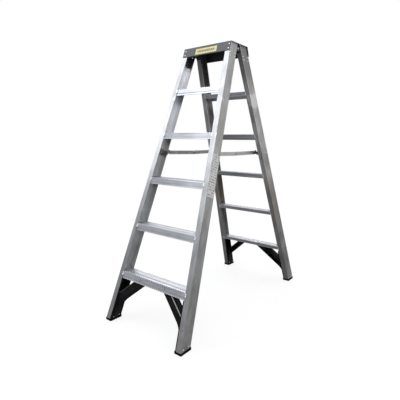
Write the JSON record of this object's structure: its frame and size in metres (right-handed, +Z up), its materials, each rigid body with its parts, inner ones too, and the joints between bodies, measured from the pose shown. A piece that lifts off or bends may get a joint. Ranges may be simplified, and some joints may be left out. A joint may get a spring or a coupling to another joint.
{
  "type": "double-sided step ladder",
  "caption": "Double-sided aluminium step ladder: two tapering frames with level treads, hinged under their top caps, with folding spreaders and braced rubber feet.",
  "frame": {"origin": "on the ground, midway between the feet, under the middle of the top caps", "axes": "+Z up; +X across the ladder, to the right of a person who faces the front frame; -Y towards the front frame's feet"},
  "size_m": [0.6074, 1.3546, 1.7],
  "materials": {
    "stile": "mill-finish extruded, fine lines along the length",
    "tread": "mill-finish extruded, ribbed top",
    "cap": "sheet with a blue-grey satin coating",
    "cap_label": "plain pale yellow plate",
    "side_label": "pale plate with rows of grey dashes",
    "brace": "black moulded nylon, fine grain",
    "sole": "black ribbed rubber",
    "hinge": "black coated pressing",
    "bolt": "zinc plated",
    "spreader_bracket": "dark plated steel",
    "bar": "plated flat steel",
    "pivot": "plated steel rivet heads",
    "clip": "bright",
    "rivet": "bright",
    "screw": "zinc plated"
  },
  "bodies": {
    "front_frame": {"front_stile_left": "stile", "front_stile_right": "stile", "front_tread_1": "tread", "front_tread_2": "tread", "front_tread_3": "tread", "front_tread_4": "tread", "front_tread_5": "tread", "front_top_cap": "cap", "cap_label": "cap_label", "side_label": "side_label", "front_foot_brace_left": "brace", "front_foot_brace_right": "brace", "front_sole_left": "sole", "front_sole_right": "sole", "front_hinge_bracket_left": "hinge", "front_hinge_bracket_right": "hinge", "hinge_bolts": "bolt", "hinge_washers": "bolt", "hinge_nuts": "bolt", "front_spreader_bracket_left": "spreader_bracket", "front_spreader_bracket_right": "spreader_bracket", "front_spreader_pivots": "pivot", "front_tread_clips": "clip", "front_tread_rivets": "rivet", "front_cap_rivets": "rivet", "front_brace_rivets": "rivet", "front_foot_screws": "screw", "front_bracket_rivets": "rivet"},
    "rear_frame": {"rear_stile_left": "stile", "rear_stile_right": "stile", "rear_tread_1": "tread", "rear_tread_2": "tread", "rear_tread_3": "tread", "rear_tread_4": "tread", "rear_tread_5": "tread", "rear_top_cap": "cap", "rear_foot_brace_left": "brace", "rear_foot_brace_right": "brace", "rear_sole_left": "sole", "rear_sole_right": "sole", "rear_hinge_bracket_left": "hinge", "rear_hinge_bracket_right": "hinge", "rear_spreader_bracket_left": "spreader_bracket", "rear_spreader_bracket_right": "spreader_bracket", "rear_spreader_pivots": "pivot", "rear_tread_clips": "clip", "rear_tread_rivets": "rivet", "rear_cap_rivets": "rivet", "rear_brace_rivets": "rivet", "rear_foot_screws": "screw", "rear_bracket_rivets": "rivet"},
    "front_bar_left": {"front_spreader_bar_left": "bar", "front_centre_rivet_left": "pivot"},
    "front_bar_right": {"front_spreader_bar_right": "bar", "front_centre_rivet_right": "pivot"},
    "rear_bar_left": {"rear_spreader_bar_left": "bar", "rear_centre_rivet_left": "pivot"},
    "rear_bar_right": {"rear_spreader_bar_right": "bar", "rear_centre_rivet_right": "pivot"}
  },
  "joints": [
    {"name": "fold", "type": "hinge", "parent": "front_frame", "child": "rear_frame", "pos_m": [0, 0, 1.669], "axis": [1, 0, 0], "range_deg": [-38.23, 0]},
    {"name": "front_bar_left_turn", "type": "hinge", "parent": "front_frame", "child": "front_bar_left", "pos_m": [0, -0.2476, 1.00667], "axis": [1, 0, 0], "range_deg": [0, 67.86]},
    {"name": "front_bar_right_turn", "type": "hinge", "parent": "front_frame", "child": "front_bar_right", "pos_m": [0, -0.2476, 1.00667], "axis": [1, 0, 0], "range_deg": [0, 67.86]},
    {"name": "rear_bar_left_turn", "type": "hinge", "parent": "rear_frame", "child": "rear_bar_left", "pos_m": [0, 0.2476, 1.00667], "axis": [1, 0, 0], "range_deg": [-67.86, 0]},
    {"name": "rear_bar_right_turn", "type": "hinge", "parent": "rear_frame", "child": "rear_bar_right", "pos_m": [0, 0.2476, 1.00667], "axis": [1, 0, 0], "range_deg": [-67.86, 0]}
  ],
  "couplings": [
    {"joint": "front_bar_left_turn", "follows": "fold", "ratio": -1.7752},
    {"joint": "front_bar_right_turn", "follows": "fold", "ratio": -1.7752},
    {"joint": "rear_bar_left_turn", "follows": "fold", "ratio": 1.7752},
    {"joint": "rear_bar_right_turn", "follows": "fold", "ratio": 1.7752}
  ]
}
